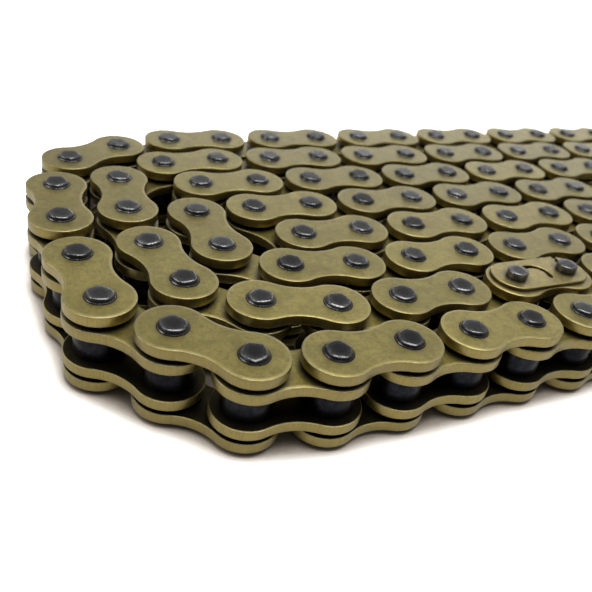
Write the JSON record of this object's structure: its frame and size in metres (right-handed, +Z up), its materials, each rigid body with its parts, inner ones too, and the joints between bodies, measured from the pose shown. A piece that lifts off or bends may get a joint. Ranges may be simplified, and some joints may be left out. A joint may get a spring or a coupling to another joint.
{
  "type": "motorcycle drive chain",
  "caption": "Sealed roller chain for a motorcycle, coiled flat on its side, with gold link plates, riveted dark pins, black rollers and seals, and a clip connecting link.",
  "frame": {"origin": "middle of the coil's footprint, on the surface that the lower pin heads rest on", "axes": "+X along the straight rows of the coil, +Y across the rows, +Z up along the pins"},
  "size_m": [0.268, 0.1138, 0.0215],
  "materials": {
    "plate_gold": "satin gold plating over steel",
    "clip_gold": "satin gold plating over spring steel",
    "pin_steel": "dark hardened steel",
    "bush_steel": "dark steel",
    "roller_steel": "blackened steel",
    "seal_rubber": "matte"
  },
  "bodies": {
    "coil": {"outer_plates_lower": "plate_gold", "outer_plates_upper": "plate_gold", "inner_plates_lower": "plate_gold", "inner_plates_upper": "plate_gold", "riveted_pins": "pin_steel", "bushes": "bush_steel", "rollers": "roller_steel", "seal_rings": "seal_rubber", "clip_link_pins": "pin_steel", "clip_link_lower_plate": "plate_gold", "clip_link_upper_plate": "plate_gold", "clip_link_seals": "seal_rubber", "spring_clip": "clip_gold"},
    "link_01": {"link_01_inner_plates": "plate_gold", "link_01_bushes": "bush_steel", "link_01_rollers": "roller_steel"},
    "link_02": {"link_02_outer_plates": "plate_gold", "link_02_pins": "pin_steel", "link_02_seals": "seal_rubber"},
    "link_03": {"link_03_inner_plates": "plate_gold", "link_03_bushes": "bush_steel", "link_03_rollers": "roller_steel"},
    "link_04": {"link_04_outer_plates": "plate_gold", "link_04_pins": "pin_steel", "link_04_seals": "seal_rubber"},
    "link_05": {"link_05_inner_plates": "plate_gold", "link_05_bushes": "bush_steel", "link_05_rollers": "roller_steel"},
    "link_06": {"link_06_outer_plates": "plate_gold", "link_06_pins": "pin_steel", "link_06_seals": "seal_rubber"},
    "link_07": {"link_07_inner_plates": "plate_gold", "link_07_bushes": "bush_steel", "link_07_rollers": "roller_steel"},
    "link_08": {"link_08_outer_plates": "plate_gold", "link_08_pins": "pin_steel", "link_08_seals": "seal_rubber"},
    "link_09": {"link_09_inner_plates": "plate_gold", "link_09_bushes": "bush_steel", "link_09_rollers": "roller_steel"},
    "link_10": {"link_10_outer_plates": "plate_gold", "link_10_pins": "pin_steel", "link_10_seals": "seal_rubber"},
    "link_11": {"link_11_inner_plates": "plate_gold", "link_11_bushes": "bush_steel", "link_11_rollers": "roller_steel"},
    "link_12": {"link_12_outer_plates": "plate_gold", "link_12_pins": "pin_steel", "link_12_seals": "seal_rubber"},
    "link_13": {"link_13_inner_plates": "plate_gold", "link_13_bushes": "bush_steel", "link_13_rollers": "roller_steel"},
    "link_14": {"link_14_outer_plates": "plate_gold", "link_14_pins": "pin_steel", "link_14_seals": "seal_rubber"},
    "link_15": {"link_15_inner_plates": "plate_gold", "link_15_bushes": "bush_steel"},
    "end_roller_a": {"end_roller_a": "roller_steel"},
    "end_roller_b": {"end_roller_b": "roller_steel"}
  },
  "joints": [
    {"name": "link_01_pivot", "type": "hinge", "parent": "coil", "child": "link_01", "pos_m": [-0.09016, 0.04988, 0.00988], "axis": [0, 0, -1], "range_deg": [0, 30]},
    {"name": "link_02_pivot", "type": "hinge", "parent": "link_01", "child": "link_02", "pos_m": [-0.10557, 0.04603, 0.00988], "axis": [0, 0, 1], "range_deg": [-30, 0]},
    {"name": "link_03_pivot", "type": "hinge", "parent": "link_02", "child": "link_03", "pos_m": [-0.11958, 0.03858, 0.00988], "axis": [0, 0, -1], "range_deg": [0, 30]},
    {"name": "link_04_pivot", "type": "hinge", "parent": "link_03", "child": "link_04", "pos_m": [-0.12527, 0.02376, 0.00988], "axis": [0, 0, 1], "range_deg": [-30, 0]},
    {"name": "link_05_pivot", "type": "hinge", "parent": "link_04", "child": "link_05", "pos_m": [-0.12693, 0.00797, 0.00988], "axis": [0, 0, -1], "range_deg": [0, 30]},
    {"name": "link_06_pivot", "type": "hinge", "parent": "link_05", "child": "link_06", "pos_m": [-0.12638, -0.00789, 0.00988], "axis": [0, 0, 1], "range_deg": [-30, 0]},
    {"name": "link_07_pivot", "type": "hinge", "parent": "link_06", "child": "link_07", "pos_m": [-0.12527, -0.02373, 0.00988], "axis": [0, 0, -1], "range_deg": [0, 30]},
    {"name": "link_08_pivot", "type": "hinge", "parent": "link_07", "child": "link_08", "pos_m": [-0.11485, -0.03571, 0.00988], "axis": [0, 0, 1], "range_deg": [-30, 0]},
    {"name": "link_09_pivot", "type": "hinge", "parent": "link_08", "child": "link_09", "pos_m": [-0.10344, -0.04674, 0.00988], "axis": [0, 0, -1], "range_deg": [0, 30]},
    {"name": "link_10_pivot", "type": "hinge", "parent": "link_09", "child": "link_10", "pos_m": [-0.08785, -0.04977, 0.00988], "axis": [0, 0, 1], "range_deg": [-30, 0]},
    {"name": "link_11_pivot", "type": "hinge", "parent": "link_10", "child": "link_11", "pos_m": [-0.07198, -0.04988, 0.00988], "axis": [0, 0, -1], "range_deg": [0, 30]},
    {"name": "link_12_pivot", "type": "hinge", "parent": "link_11", "child": "link_12", "pos_m": [-0.0561, -0.04988, 0.00988], "axis": [0, 0, 1], "range_deg": [-30, 0]},
    {"name": "link_13_pivot", "type": "hinge", "parent": "link_12", "child": "link_13", "pos_m": [-0.04023, -0.04988, 0.00988], "axis": [0, 0, -1], "range_deg": [0, 30]},
    {"name": "link_14_pivot", "type": "hinge", "parent": "link_13", "child": "link_14", "pos_m": [-0.02435, -0.04988, 0.00988], "axis": [0, 0, 1], "range_deg": [-30, 0]},
    {"name": "link_15_pivot", "type": "hinge", "parent": "link_14", "child": "link_15", "pos_m": [-0.00848, -0.04988, 0.00988], "axis": [0, 0, -1], "range_deg": [0, 30]},
    {"name": "end_roller_a_spin", "type": "hinge", "parent": "link_15", "child": "end_roller_a", "pos_m": [-0.00848, -0.04988, 0.00988], "axis": [0, 0, 1], "continuous": true},
    {"name": "end_roller_b_spin", "type": "hinge", "parent": "link_15", "child": "end_roller_b", "pos_m": [0.0074, -0.04988, 0.00988], "axis": [0, 0, 1], "continuous": true}
  ]
}
